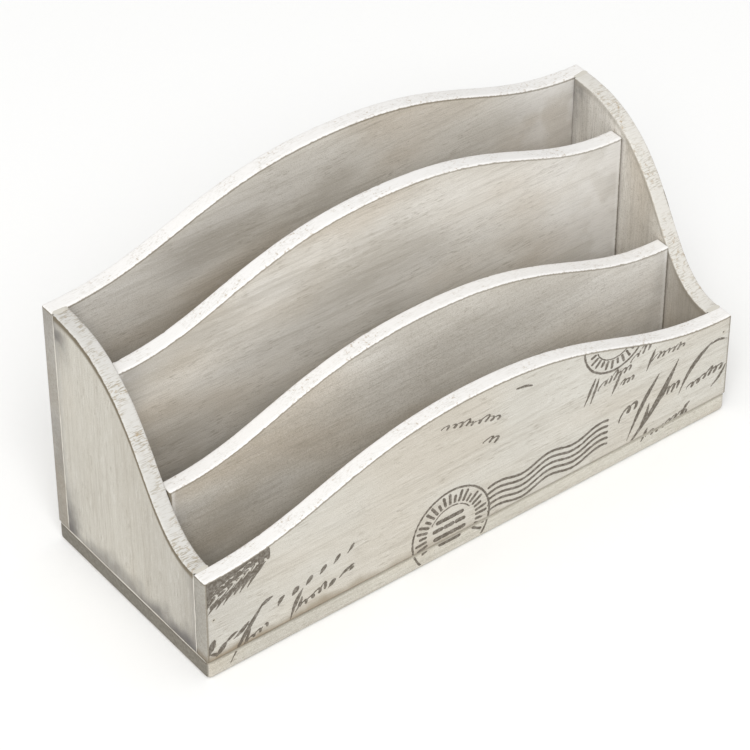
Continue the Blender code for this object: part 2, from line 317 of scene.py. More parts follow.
    # What lies on the wood, from the bottom up: (name, whether it is there, colour, what its amount follows).
    # An amount is the product of its factors: (what it follows, from here, to here, value here, value here),
    # a plain amount, or the name of a layer before it.
    in_patches = (patch, 0.42, 0.62, 0.12, 1.0)
    dabbed = (patch, 0.40, 0.60, 0.35, 1.0)
    layers = (
        # Painted light: faces inside the organizer take the lighter inner wash, where one is given.
        ("inside", True, inner_wash_painted_light or wash, inward),
        ("clouds", clouds, colours.taupe_glaze, (share, 0.0, 1.0, clouds, clouds * 0.5, "LINEAR"),
         (broad, 0.38, 0.68, 0.15, 1.0)),
        ("warm", warm_most, colours.bare_wood, (warmth, 0.46, 0.68, 0.0, warm_most)),
        ("cool", cool_most, colours.grey_glaze, (warmth, 0.56, 0.36, 0.0, 1.0),
         (share, 0.0, 0.45, cool_most, cool_most * 0.2, "LINEAR")),
        ("bands", True, colours.taupe_glaze, (band, 0.48, 0.72, 0.0, 0.20)),
        ("streaks", True, colours.taupe_glaze, (streak, 0.48, 0.76, 0.0, 0.22)),
        ("pale streaks", True, colours.edge_paint, (streak, 0.46, 0.26, 0.0, 0.20)),
        ("hairs", True, colours.grain, (fine, 0.54, 0.74, 0.0, 0.20)),
        ("pits", True, colours.grain, (tooth, 0.50, 0.74, 0.0, 0.50)),
        ("chalk", True, colours.edge_paint, (tooth, 0.48, 0.25, 0.0, 0.30)),
        ("pores", True, colours.grain, (dash, 0.57, 0.72, 0.0, 0.44), in_patches),
        ("figure", True, colours.grain, (off_line, 0.006, 0.026, 0.15, 0.0)),
        # Darker towards the foot: glaze along the joint with the base; where the reach is long, on the
        # dividers and the back board, it is painted shade down in the slots.
        ("foot", True, foot_colour or colours.grey_glaze, (cloudy_above, 0.0, foot_reach, 1.0, 0.0),
         (share, 0.05, 0.65, foot_most, foot_most * foot_far)),
        ("ends", True, colours.grey_glaze, (cloudy_end, -0.2 * ends_reach, ends_reach, ends_most, 0.0)),
        ("top", True, colours.taupe_glaze, (cloudy_below, -1.0, 6.0, top_glaze, 0.0)),
        ("end grain", True, colours.end_grain, (crumb, 0.35, 0.65, end_face, end_face * 0.7, "LINEAR"),
         (from_end, 0.25, 0.9, 1.0, 0.0)),
        ("specks", True, colours.arris_line, (speck, 0.020, 0.028, 0.6, 0.0)),
        ("smudge", smudge, colours.dark_glaze, (cloudy_end, 1.0, 15.0, smudge, 0.0), by_either,
         (share, 0.3, 0.8, 0.25, 1.0, "LINEAR"), dabbed),
        # Painted light: the wash is whiter towards the right end of the board.
        ("pale end", pale_end, colours.edge_paint, (share, 0.76, 0.97, 0.0, pale_end), dabbed),
        # Painted shade: darker on the inner face in the narrow slot behind the front board.
        ("slot", slot, colours.grain, (share, 0.34, 0.14, 0.0, slot), inward),
        ("seam", seam, colours.arris_line, (share, 0.2, 0.8, seam, seam * 0.4, "LINEAR"),
         (ragged_above, 1.3, 0.5, 0.0, 1.0)),
        ("lip", crack, colours.edge_paint, (ragged_end, 3.4, 1.4, 0.0, 0.30)),
        ("crack", crack, colours.arris_line, (ragged_end, 1.1, 0.4, 0.0, crack)),
        ("corner", corner, colours.arris_line, (from_end, 1.4, 0.8, 0.0, corner),
         (from_end, 0.1, 0.4, 0.0, 1.0)),
        ("line", True, line_colour, (inward, 0.3, 0.7, line_most, line_most * line_inside, "LINEAR"),
         (ragged_below, 0.9 + 2 * line_reach, 0.8 + 0.7 * line_reach, 0.0, 1.0)),
        ("paint", True, paint_colour, (ragged_below, 0.45, 0.85, painted_edge, 0.0)),
        ("thin paint", True, shade_colour, (tick, 0.48, 0.66, 0.0, edge_ticks),
         (patch, 0.38, 0.56, 0.25, 1.0), "paint"),
        ("worn", True, worn_colour, (crumb, 0.62 - 0.10 * edge_wear, 0.68, 0.0, edge_wear),
         in_patches, "paint"),
        # Ink sits in the wash, so the rubbed spots show the same wood as beside it.
        ("ink", bool(ink), ink, (crumb, 0.40, 0.68, 0.95, 0.66)),
    )
    surface = wash
    amounts = {}
    for layer, there, laid, *factors in layers:
        if not there:
            continue
        amount = None
        for factor in factors:
            if isinstance(factor, tuple):
                follows, start, stop, first, last, *shape = factor
                kind = shape[0] if shape else "SMOOTHSTEP"
                values = {0: follows, 1: start, 2: stop, 3: first, 4: last}
                part = add(tree, "ShaderNodeMapRange", values, interpolation_type=kind)
            else:
                part = amounts[factor] if isinstance(factor, str) else factor
            if amount is not None:
                part = add(tree, "ShaderNodeMath", {0: amount, 1: part}, operation="MULTIPLY")
            amount = part
        amounts[layer] = amount
        if laid is not None:
            surface = add(tree, "ShaderNodeMix", {0: amount, 6: surface, 7: laid}, out=2, data_type="RGBA")

    # Chalky where the wash is thick, a little smoother on the painted edge. The grain and the tooth of the
    # wash stand up, and pores, thin paint and worn spots lie lower.
    roughness = add(tree, "ShaderNodeMapRange", {0: streak, 1: 0.3, 2: 0.7, 3: 0.62, 4: 0.82})
    roughness = add(tree, "ShaderNodeMix", {0: amounts["paint"], 2: roughness, 3: 0.55}, data_type="FLOAT")
    relief = 0.0
    for part, height in (
        (fine, 0.35),
        (amounts["pores"], -0.7),
        (tooth, 0.45),
        (amounts["thin paint"], -0.8),
        (amounts["worn"], -1.2),
    ):
        relief = add(tree, "ShaderNodeMath", {0: part, 1: height, 2: relief}, operation="MULTIPLY_ADD")
    bump = add(tree, "ShaderNodeBump", {"Height": relief, "Strength": 0.4, "Distance": 0.25 * MM})
    close_tree(tree, surface, roughness, bump, IOR=1.48)
    return material


def dulled_steel(name, base):
    """Brad wire, drawn and then stained by the glaze: a dark brown-grey metal with rust-brown freckles."""
    material, tree = new_tree(name)
    own = add(tree, "ShaderNodeTexCoord", out="Object")
    mottle = add(tree, "ShaderNodeTexNoise", {"Vector": own, "Scale": 1000 / 0.5, "Detail": 3.0})
    freckle = add(tree, "ShaderNodeMapRange", {0: mottle, 1: 0.48, 2: 0.62, 3: 0.0, 4: 0.8}, **SMOOTH)
    surface = add(tree, "ShaderNodeMix", {0: freckle, 6: base, 7: linear("#4A3A2A")}, out=2, data_type="RGBA")
    roughness = add(tree, "ShaderNodeMapRange", {0: mottle, 1: 0.3, 2: 0.7, 3: 0.38, 4: 0.65})
    bump = add(tree, "ShaderNodeBump", {"Height": mottle, "Strength": 0.3, "Distance": 0.05 * MM})
    close_tree(tree, surface, roughness, bump, Metallic=0.85)
    return material


def dried_paint(name, base, stain):
    """Water-based white paint, brushed on and left as a ridge: chalky, with grime caught in it."""
    material, tree = new_tree(name)
    own = add(tree, "ShaderNodeTexCoord", out="Object")
    clotted = {"Vector": own, "Scale": 1000 / 9, "Detail": 4.0, "Roughness": 0.65}
    grime = add(tree, "ShaderNodeTexNoise", clotted)
    skin = add(tree, "ShaderNodeTexNoise", {"Vector": own, "Scale": 1000 / 0.7, "Detail": 2.0})
    dirty = add(tree, "ShaderNodeMapRange", {0: grime, 1: 0.50, 2: 0.72, 3: 0.05, 4: 0.6}, **SMOOTH)
    surface = add(tree, "ShaderNodeMix", {0: dirty, 6: base, 7: stain}, out=2, data_type="RGBA")
    roughness = add(tree, "ShaderNodeMapRange", {0: skin, 1: 0.3, 2: 0.7, 3: 0.5, 4: 0.68})
    bump = add(tree, "ShaderNodeBump", {"Height": skin, "Strength": 0.3, "Distance": 0.08 * MM})
    close_tree(tree, surface, roughness, bump, IOR=1.48)
    return material


def backdrop_paper(name, base):
    """Matte white paper: even, with a hardly visible tooth."""
    material, tree = new_tree(name)
    own = add(tree, "ShaderNodeTexCoord", out="Object")
    tooth = add(tree, "ShaderNodeTexNoise", {"Vector": own, "Scale": 1000 / 3, "Detail": 2.0})
    tone = add(tree, "ShaderNodeMapRange", {0: tooth, 1: 0.3, 2: 0.7, 3: 0.0, 4: 0.015})
    surface = add(tree, "ShaderNodeMix", {0: tone, 6: base, 7: linear("#D8D8D6")}, out=2, data_type="RGBA")
    roughness = add(tree, "ShaderNodeMapRange", {0: tooth, 1: 0.3, 2: 0.7, 3: 0.86, 4: 0.94})
    bump = add(tree, "ShaderNodeBump", {"Height": tooth, "Strength": 0.05, "Distance": 0.1 * MM})
    close_tree(tree, surface, roughness, bump, IOR=1.45)
    return material


# ---------------------------------------------------------------------------------------------
# Shaped edges


def s_edge(start, end, start_pull, end_pull):
    """Places and heights along an S-shaped edge that is level at both ends, sorted by place."""
    t = np.linspace(0, 1, EDGE_SAMPLES)
    way = math.copysign(1, end[0] - start[0])
    corners = (start[0], start[0] + way * start_pull, end[0] - way * end_pull, end[0])
    weights = ((1 - t) ** 3, 3 * t * (1 - t) ** 2, 3 * t**2 * (1 - t), t**3)
    places = sum(w * c for w, c in zip(weights, corners))
    heights = start[1] * (weights[0] + weights[1]) + end[1] * (weights[2] + weights[3])
    order = np.argsort(places)
    return places[order], heights[order]


def crowned_top(node, sizes):
    """The height of a long board's top edge at any X: a crown in the middle, an S down to each end."""
    high = BOX[node][1]
    shoulder = sizes.shoulder_pull - (HALF_WIDTH - high.x)
    places, heights = s_edge((0, high.z), (high.x, high.z - sizes.crown_rise), sizes.crown_pull, shoulder)
    return lambda x: float(np.interp(abs(x), places, heights))


def side_top(node, sizes):
    """The height of a side panel's top edge at any Y: one S from the back board down to the front board."""
    low, high = BOX[node]
    foot = (low.y, BOX["front_board"][1].z - sizes.crown_rise)
    places, heights = s_edge((high.y, high.z), foot, sizes.side_top_pull, sizes.side_foot_pull)
    return lambda y: float(np.interp(y, places, heights))


def flat_top(height):
    """A straight top edge."""
    return lambda _: height


# ---------------------------------------------------------------------------------------------
# Boards


def ring(t0, t1, z0, z1, top, low, rows):
    """One cross-section of a board, as (across, height) points in four runs: up the front, over the top,
    down the back and along the underside."""

    def arc(centre_t, centre_z, radius, first, last):
        turns = [first + (last - first) * k / ARC_STEPS for k in range(1, ARC_STEPS)]
        return [
            (centre_t + radius * math.cos(math.radians(a)), centre_z + radius * math.sin(math.radians(a)))
            for a in turns
        ]

    def flat(start, end, height):
        return [(start + (end - start) * k / TOP_STEPS, height) for k in range(TOP_STEPS + 1)]

    heights = [z0 + low + (z1 - top - z0 - low) * k / rows for k in range(rows + 1)]
    front = [(t0, z) for z in heights]
    over = arc(t0 + top, z1 - top, top, 180, 90) + flat(t0 + top, t1 - top, z1)
    over += arc(t1 - top, z1 - top, top, 90, 0)
    back = [(t1, z) for z in reversed(heights)]
    under = arc(t1 - low, z0 + low, low, 0, -90) + flat(t1 - low, t0 + low, z0)
    under += arc(t0 + low, z0 + low, low, -90, -180)
    return front, over, back, under


def rub(place, side, seed, sizes):
    """How much an arris is rubbed down at a place along it, with a few small dents."""
    slow, quick, knocks = (
        noise.noise(Vector((place / spacing, side * apart, seed + shift)))
        for spacing, apart, shift in ((9 * MM, 7.3, 0), (2.2 * MM, 3.1, 40), (3.0 * MM, 5.7, 80))
    )
    worn = sizes.wear * (0.25 + 0.75 * max(0, slow)) + 0.3 * sizes.wear * max(0, quick)
    dented = max(0, knocks - RARE_KNOCK) / 0.2
    return worn + sizes.dent * min(1, dented)


def loft_board(name, along, low, high, top_of, sizes, seed, round_low=None, round_ends=None):
    """A board as one closed skin from end to end, with eased arrises that hands and sandpaper have rubbed."""
    across = 1 - along
    round_low = round_low or sizes.edge_round * 0.5
    round_ends = round_ends or sizes.edge_round * 0.6
    length = high[along] - low[along]
    rows = max(3, round((high.z - low.z) / ROW_SPACING))
    first = math.cos(math.radians(END_ANGLES[0]))
    ends = [
        (round_ends * (1 - math.cos(math.radians(a)) / first), math.sin(math.radians(a))) for a in END_ANGLES
    ]
    count = round((length - 2 * round_ends) / STATION_SPACING)
    middle = [(round_ends + (length - 2 * round_ends) * k / count, 1.0) for k in range(1, count)]
    stations = ends + middle + [(length - d, s) for d, s in reversed(ends)]

    mesh = bmesh.new()
    loops = []
    for distance, full in stations:
        place = low[along] + distance
        lost = 1 - full
        t0, t1 = low[across] + round_ends * lost, high[across] - round_ends * lost
        top, bottom = sizes.edge_round * full, round_low * full
        z1 = top_of(place) - sizes.edge_round * lost
        z0 = low.z + round_low * lost
        parts = ring(t0, t1, z0, z1, top, bottom, rows)
        loop = []
        for part, points in enumerate(parts):
            for t, z in points:
                spot = Vector((place / SWAY_LENGTH, z / SWAY_LENGTH, seed + t * 90))
                sway = SWAY * (1 + noise.noise(spot))
                middle_t = (t0 + t1) / 2
                towards = 1 if t < middle_t else -1
                if part == 1:
                    worn = rub(place, towards, seed, sizes)
                    share = min(1, abs(t - middle_t) / ((t1 - t0) / 2)) ** 6
                    t += towards * 0.7 * worn * share
                    z -= worn * share * 0.8 + 0.4 * sway
                elif part in (0, 2):
                    t += towards * sway
                point = [0, 0, z]
                point[along], point[across] = place, t
                loop.append(mesh.verts.new(point))
        loops.append(loop)
        front, over, back, under = (len(p) for p in parts)
    total = front + over + back + under
    for one, two in zip(loops, loops[1:]):
        for k in range(total):
            n = (k + 1) % total
            mesh.faces.new((one[k], one[n], two[n], two[k]))
    for loop in (loops[0], loops[-1]):
        fronts = loop[:front]
        backs = loop[front + over : front + over + back][::-1]
        for k in range(front - 1):
            mesh.faces.new((fronts[k], fronts[k + 1], backs[k + 1], backs[k]))
        mesh.faces.new(loop[front - 1 : front + over + 1])
        mesh.faces.new([*loop[front + over + back - 1 :], loop[0]])
    bmesh.ops.recalc_face_normals(mesh, faces=mesh.faces)
    return finish_mesh(name, mesh)


def finish_mesh(name, mesh):
    """Turns a bmesh into an object in the scene."""
    data = bpy.data.meshes.new(name)
    mesh.to_mesh(data)
    mesh.free()
    made = bpy.data.objects.new(name, data)
    bpy.context.collection.objects.link(made)
    return made


def overlaps(a, b):
    """Whether two boxes share space."""
    return all(a[0][i] < b[1][i] and b[0][i] < a[1][i] for i in range(3))


def brad_axis(name):
    """Which axis a brad lies along, and where on it its head's face and its tip are, from its box."""
    low, high = BOX[name]
    axis = max(range(3), key=lambda i: high[i] - low[i])
    head_is_low = name.startswith(("brad_front", "brad_base"))
    return axis, (low[axis], high[axis]) if head_is_low else (high[axis], low[axis])


def turned(mesh, axis, centre, profile, closed=False):
    """Adds a turned shape to a mesh. profile is (place along the axis, radius), from one pole to the other,
    or all round a ring's section if closed."""
    u, v = [i for i in range(3) if i != axis]
    rings = []
    for place, radius in profile:
        points = []
        for k in range(BORE_SIDES if radius else 1):
            point = list(centre)
            point[axis] = place
            turn = math.tau * (k + 0.5) / BORE_SIDES
            point[u] += radius * math.cos(turn)
            point[v] += radius * math.sin(turn)
            points.append(mesh.verts.new(point))
        rings.append(points)
    for one, two in zip(rings, rings[1:] + rings[: 1 if closed else 0]):
        for k in range(BORE_SIDES):
            n = (k + 1) % BORE_SIDES
            corners = {one[k % len(one)]: 0, one[n % len(one)]: 0, two[n % len(two)]: 0, two[k % len(two)]: 0}
            mesh.faces.new(list(corners))


def bore(board, node):
    """Cuts the holes for every brad that enters the board."""
    mesh = bmesh.new()
    found = 0
    for name in BRADS:
        if not overlaps(BOX[name], BOX[node]):
            continue
        found += 1
        low, high = BOX[name]
        axis, (head, tip) = brad_axis(name)
        way = math.copysign(1, tip - head)
        radius = (high[axis - 1] - low[axis - 1]) / 2 + BORE_CLEARANCE
        shank = SHANK_RADIUS + BORE_CLEARANCE
        shoulder = head + way * (HEAD_THICKNESS + BORE_CLEARANCE)
        start = head - way * BORE_OVERRUN
        stop = tip + way * BORE_CLEARANCE
        centre = (low + high) / 2
        turned(mesh, axis, centre, [(start, 0), (start, radius), (shoulder, radius), (shoulder, shank),
                                    (stop, shank), (stop, 0)])
    bmesh.ops.recalc_face_normals(mesh, faces=mesh.faces)
    cutter = finish_mesh("bore_cutter", mesh)
    if found:
        cut = board.modifiers.new("bores", "BOOLEAN")
        cut.operation = "DIFFERENCE"
        cut.solver = "EXACT"
        cut.object = cutter
        depsgraph = bpy.context.evaluated_depsgraph_get()
        bored = bpy.data.meshes.new_from_object(board.evaluated_get(depsgraph))
        board.modifiers.clear()
        old = board.data
        board.data = bored
        bpy.data.meshes.remove(old)
        board.data.name = board.name
        if len(board.data.polygons) < FEWEST_FACES:
            raise RuntimeError(f"the bores of {node} removed the board")
    spare = cutter.data
    bpy.data.objects.remove(cutter)
    bpy.data.meshes.remove(spare)


def mark(piece, along, low, high, top_of, outer_is_low):
    """Writes on each point how far it is from the board's top edge, foot and ends, in millimetres, and how
    far along it and through it from the outer face, from 0 to 1. The washes and glazes follow these."""
    data = piece.data
    points = np.empty(len(data.vertices) * 3)
    data.vertices.foreach_get("co", points)
    points = points.reshape(-1, 3)
    across = 1 - along
    top = np.array([top_of(p) for p in points[:, along]])
    share = (points[:, along] - low[along]) / (high[along] - low[along])
    through = (points[:, across] - low[across]) / (high[across] - low[across])
    facts = (
        (top - points[:, 2]) / MM,
        (points[:, 2] - low.z) / MM,
        np.minimum(points[:, along] - low[along], high[along] - points[:, along]) / MM,
        through if outer_is_low else 1 - through,
        share,
    )
    for name, values in zip(FACTS, facts):
        layer = data.attributes.new(name, "FLOAT", "POINT")
        layer.data.foreach_set("value", values.astype(np.float32))


def shade(piece):
    """Smooth shading that stays crisp at cut edges."""
    piece.data.shade_smooth()
    piece.data.set_sharp_from_angle(angle=CRISP_ANGLE)


def settle(piece, material, nodes=()):
    """Gives a finished piece its material and its place in the model."""
    piece.data.materials.clear()
    piece.data.materials.append(material)
    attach(piece, BODY)
    if nodes:
        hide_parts(*nodes)


def build_board(node, along, top_of, sizes, material, slot, seed, outer_is_low=True, **rounds):
    """Makes one board, bored for its brads, and puts it in place of its plain solid."""
    low, high = BOX[node]
    board = loft_board(node + "_wood", along, low, high, top_of, sizes, seed, **rounds)
    bore(board, node)
    mark(board, along, low, high, top_of, outer_is_low)
    shade(board)
    settle(board, material, [node])


# ---------------------------------------------------------------------------------------------
# Print: marks are drawn as pen strokes on a fine grid, and the inked area is cut out as one thin sheet.

GRID = 0.36 * MM  # spacing of that grid
INK_RAISED = 0.05 * MM
INK_SUNK = 0.12 * MM
WAVE_STEPS = 40
WAVE_START = 0.6  # where in its turn a wavy line starts, in radians
SLASH_STEPS = 16
PEN_STEPS = 14  # for each hop
NIB = 0.25  # the finest line of the pen, in millimetres
LEAST_CUT = 0.12  # of a grid step, so that no face of the sheet is a sliver
FAR = 5.0  # how far from any stroke the grid counts as, in millimetres
# How far the ink stays from the front's top edge and ends, the seam above and below, the base's bottom
# edge and its ends, in millimetres.
TOP_MARGIN, END_MARGIN, ABOVE_SEAM, BELOW_SEAM, BOTTOM_MARGIN, BASE_END_MARGIN = 1.1, 0.7, 0.8, 0.9, 2.6, 2.7


def circle(x, z, radius, width, first=0, last=360):
    """A ring, or a part of one, as a stroke."""
    steps = max(8, round(abs(last - first) / 5))
    turns = [math.radians(first + (last - first) * k / steps) for k in range(steps + 1)]
    return [(x + radius * math.cos(a), z + radius * math.sin(a), width) for a in turns]


def spokes(x, z, inner, outer, width, first, last, count):
    """Short bars set round a ring, in place of any wording."""
    made = []
    for k in range(count):
        a = math.radians(first + (last - first) * k / (count - 1))
        reach = outer if k % 3 else inner + (outer - inner) * 0.6
        made.append([
            (x + inner * math.cos(a), z + inner * math.sin(a), width),
            (x + reach * math.cos(a), z + reach * math.sin(a), width),
        ])
    return made


def wave(start, end, height, turns, width):
    """A wavy cancelling line."""
    made = []
    for k in range(WAVE_STEPS + 1):
        share = k / WAVE_STEPS
        x, z = (a + (b - a) * share for a, b in zip(start, end))
        rise = height * math.sin(math.tau * turns * share + WAVE_START)
        made.append((x, z + rise, width))
    return made


def slash(start, end, width, bow=0.0):
    """One long pen stroke: pointed at both ends, heaviest past its middle, bowed to one side."""
    run = Vector((end[0] - start[0], end[1] - start[1]))
    side = Vector((-run.y, run.x)).normalized()
    made = []
    for k in range(SLASH_STEPS + 1):
        share = k / SLASH_STEPS
        spot = Vector(start) + run * share + side * (bow * math.sin(math.pi * share))
        heavy = NIB + (width - NIB) * math.sin(math.pi * share**1.3)
        made.append((spot.x, spot.y, heavy))
    return made


def pen(start, end, height, hops, width, seed, lean):
    """A running pen flourish that says nothing: leaning hops of uneven height, thick on the way down."""
    # Each hop's height, how far it lifts off the line, and how round it is.
    dice = random.Random(seed)
    heights = [height * dice.choice((0.5, 0.6, 0.7, 1.0)) for _ in range(hops + 1)]
    lifts = [dice.uniform(-0.12, 0.12) * height for _ in range(hops + 2)]
    turns = [dice.uniform(0.35, 0.95) for _ in range(hops + 1)]
    run = Vector((end[0] - start[0], end[1] - start[1]))
    pitch = run.length / hops
    way = run.normalized()
    side = Vector((-way.y, way.x))
    made = []
    for k in range(hops * PEN_STEPS + 1):
        hop = min(k // PEN_STEPS, hops - 1)
        share = k / PEN_STEPS - hop
        turn = math.tau * share
        tall = heights[hop] * (0.5 - 0.5 * math.cos(turn)) + lifts[hop] * (1 - share) + lifts[hop + 1] * share
        forward = (hop + share) * pitch - turns[hop] * pitch * 0.42 * math.sin(turn) + lean * tall
        spot = Vector(start) + way * forward + side * tall
        heavy = width * (0.40 + 0.60 * max(0.0, -math.sin(turn)) ** 0.6)
        made.append((spot.x, spot.y, heavy))
    return made


def printed_marks():
    """Every mark of the print, as strokes of (from the middle of the front, above the desk, width), in mm."""
    strokes = []
    # A round hand stamp that runs off the lower edge, with bars where the wording would be.
    strokes += [circle(-16, 16, 22, 1.1), circle(-16, 16, 12.6, 0.6, 35, 150)]
    strokes += spokes(-16, 16, 14.6, 19.8, 1.5, 205, -30, 24)
    for row, (half, drop) in enumerate(((7.5, 6.5), (9.5, 2.0), (9.0, -2.8), (6.0, -7.2))):
        count = 4 - row % 2
        for k in range(count):
            left = -16 - half + k * 2 * half / count
            strokes.append([(left, 16 + drop, 2.3), (left + 1.25 * half / count, 16 + drop, 2.3)])
    # Wavy cancelling lines beside it.
    for k in range(5):
        strokes.append(wave((5.5, 27.0 - 3.5 * k), (75.5, 30.5 - 3.5 * k), 1.7, 2.3, 1.4))
    # A second round stamp, cut off by the top edge.
    strokes += [circle(78, 79, 18.5, 1.1), circle(78, 79, 11.5, 0.6, 200, 340)]
    strokes += spokes(78, 79, 12.8, 16.4, 1.4, 200, 340, 12)
    strokes.append([(20, 78.6, 0.7), (25, 77.8, 1.4), (29, 76.2, 0.7)])
    # Running pen lines in the middle, at the upper right, at the right and at the lower left.
    for start, end, height, hops, width, seed, lean in (
        ((-23, 76.5), (9, 66.5), 3.4, 9, 1.3, 3, 0.9),
        ((1, 56.5), (8, 54), 4.4, 2, 1.4, 5, 0.9),
        ((69, 53), (87, 56), 4.6, 6, 1.3, 8, 0.9),
        ((81, 48), (89, 49), 3.2, 3, 1.2, 9, 0.9),
        ((88, 60), (98, 62), 4.2, 3, 1.5, 10, 0.9),
        ((101, 54), (120, 53.5), 3.4, 6, 1.2, 12, 0.9),
        ((83, 27), (92, 31), 6.0, 2, 2.0, 15, 0.9),
        ((105, 27), (118, 30), 5.2, 4, 1.6, 17, 0.9),
        ((124, 25.5), (144, 27), 4.4, 6, 1.6, 19, 0.9),
        ((100, 8.5), (124, 10), 3.6, 7, 1.4, 23, 0.9),
        ((-129.0, 11.6), (-118.6, 14.4), 2.6, 3, 1.5, 29, 0.9),
        ((-100.5, 15.5), (-87.0, 18.6), 3.6, 4, 1.7, 37, 0.7),
    ):
        strokes.append(pen(start, end, height, hops, width, seed, lean))
    # Long strokes in the same places, as (start, end, width, bow).
    for stroke in (
        ((60.5, 47), (67, 61), 1.7, 0.0),
        ((64, 46), (69, 60), 1.5, 0.0),
        ((77, 45.5), (82, 56), 1.7, 0.0),
        ((97.5, 49), (103, 61), 1.8, 0.0),
        ((88, 12), (107, 45), 2.6, 1.5),
        ((90, 9), (118, 47), 3.4, -2.0),
        ((89.5, 10), (101, 29), 2.4, -2.5),
        ((119, 24), (139, 47), 2.6, 3.0),
        ((136, 45), (148, 44.5), 1.4, 1.5),
        ((140, 19), (148.5, 29), 1.7, -1.0),
        ((97, 6.5), (101, 14), 1.8, 0.0),
        ((123, 9), (127, 17), 1.8, 1.5),
        ((-149.3, 14.0), (-145.8, 22.8), 3.4, 0.0),
        ((-148.6, 15.0), (-144.2, 13.0), 2.0, 0.0),
        ((-145.5, 12.0), (-139.5, 18.0), 2.9, 0.0),
        ((-141.0, 16.6), (-133.6, 20.8), 1.7, 0.5),
        ((-138.5, 3.4), (-119.5, 29.6), 2.4, 0.8),
        ((-131.5, 9.6), (-126.8, 19.6), 1.5, -0.5),
        ((-136.2, 17.2), (-127.6, 23.0), 2.3, -0.6),
        ((-122.6, 27.0), (-114.6, 30.6), 2.0, 0.5),
        ((-112.2, 22.6), (-108.4, 27.6), 2.2, 0.7),
        ((-105.8, 11.0), (-98.5, 26.0), 2.3, 0.8),
        ((-103.0, 14.0), (-99.0, 21.6), 1.6, -0.6),
        ((-84.8, 18.4), (-80.8, 21.8), 2.5, 0.0),
        ((-79.2, 20.6), (-70.4, 25.0), 1.8, 0.5),
        ((-74.0, 21.6), (-70.6, 23.6), 1.4, 0.0),
    ):
        strokes.append(slash(*stroke))
    # A rising row of short dabs above the lower left line.
    for k in range(5):
        x, z = -103 + 7.6 * k, 26.5 + 2.1 * k
        strokes.append(slash((x - 1.6, z - 2.0), (x + 2.2, z + 2.2), 2.8 - 0.25 * k))
    return strokes


def engraved_corner():
    """The solid part of a torn stamp at the upper left, and the light curls engraved in it, as strokes."""
    solid, light = [], []
    bars = 24
    for k in range(bars):
        share = k / (bars - 1)
        low = 42.5 + 13.0 * share**1.6 + 1.2 * math.sin(k * 2.1)
        solid.append([(-149.6 + 33 * share, low, 1.9), (-149.6 + 33 * share, 64, 1.9)])
    for k in range(6):
        solid.append(slash((-149 + 4.2 * k, 38.5 + 0.9 * k), (-139 + 4.2 * k, 46.0 + 1.4 * k), 2.2, 0.8))
    light.append(pen((-148, 44.8), (-122, 53.4), 2.3, 6, 0.9, 50, 0.6))
    light.append(pen((-145, 49.4), (-126, 56.0), 1.8, 4, 0.7, 51, 0.6))
    for k in range(6):
        x, z = -149 + 4.6 * k, 42.0 + 1.7 * k
        light.append(slash((x, z), (x + 7.5 - 0.7 * k, z + 4.4), 1.0, 0.6 - 0.3 * (k % 3)))
    return solid, light


def ink_field(strokes, columns, rows, left):
    """Distance outside the nearest stroke's edge at each grid point, in mm, negative inside it."""
    field = np.full((columns, rows), FAR)
    step = GRID / MM
    for stroke in strokes:
        for (x0, z0, w0), (x1, z1, w1) in zip(stroke, stroke[1:]):
            reach = max(w0, w1) / 2 + 1.2
            i0 = max(0, int((min(x0, x1) - reach - left) / step))
            i1 = min(columns, int((max(x0, x1) + reach - left) / step) + 2)
            j0 = max(0, int((min(z0, z1) - reach) / step))
            j1 = min(rows, int((max(z0, z1) + reach) / step) + 2)
            if i0 >= i1 or j0 >= j1:
                continue
            x = left + step * np.arange(i0, i1)[:, None]
            z = step * np.arange(j0, j1)[None, :]
            dx, dz = x1 - x0, z1 - z0
            t = np.clip(((x - x0) * dx + (z - z0) * dz) / (dx * dx + dz * dz + 1e-9), 0, 1)
            gap = np.hypot(x - x0 - t * dx, z - z0 - t * dz) - (w0 + t * (w1 - w0)) / 2
            window = field[i0:i1, j0:j1]
            np.minimum(window, gap, out=window)
    return field


def cut_sheet(name, field, left, face_y):
    """Cuts the inside of a field out as one thin closed sheet on the plane of the face."""
    step = GRID / MM
    places, corners, polygons, walls = [], {}, [], []

    def corner(key):
        if key not in corners:
            (i, j), (k, l) = key
            a, b = field[i, j], field[k, l]
            share = 0.0 if (i, j) == (k, l) else min(1 - LEAST_CUT, max(LEAST_CUT, a / (a - b)))
            corners[key] = len(places)
            places.append((left + step * (i + (k - i) * share), step * (j + (l - j) * share)))
        return corners[key]

    inside = field < 0
    active = inside[:-1, :-1] | inside[1:, :-1] | inside[1:, 1:] | inside[:-1, 1:]
    for i, j in zip(*np.nonzero(active)):
        i, j = int(i), int(j)
        square = ((i, j), (i + 1, j), (i + 1, j + 1), (i, j + 1))
        polygon, cut = [], []
        for k in range(4):
            here, after = square[k], square[(k + 1) % 4]
            if inside[here]:
                polygon.append(corner((here, here)))
                cut.append(False)
            if inside[here] != inside[after]:
                polygon.append(corner((min(here, after), max(here, after))))
                cut.append(True)
        polygons.append(polygon)
        count = len(polygon)
        for k in range(count):
            n = (k + 1) % count
            if cut[k] and cut[n] and (count > 3 or polygon[k] != polygon[n]):
                walls.append((polygon[k], polygon[n]))
    placed = len(places)
    front = [(x * MM, face_y - INK_RAISED, z * MM) for x, z in places]
    back = [(x * MM, face_y + INK_SUNK, z * MM) for x, z in places]
    faces = polygons + [[p + placed for p in reversed(poly)] for poly in polygons]
    faces += [(b, a, a + placed, b + placed) for a, b in walls]
    data = bpy.data.meshes.new(name)
    data.from_pydata(front + back, [], faces)
    data.validate()
    made = bpy.data.objects.new(name, data)
    bpy.context.collection.objects.link(made)
    return made


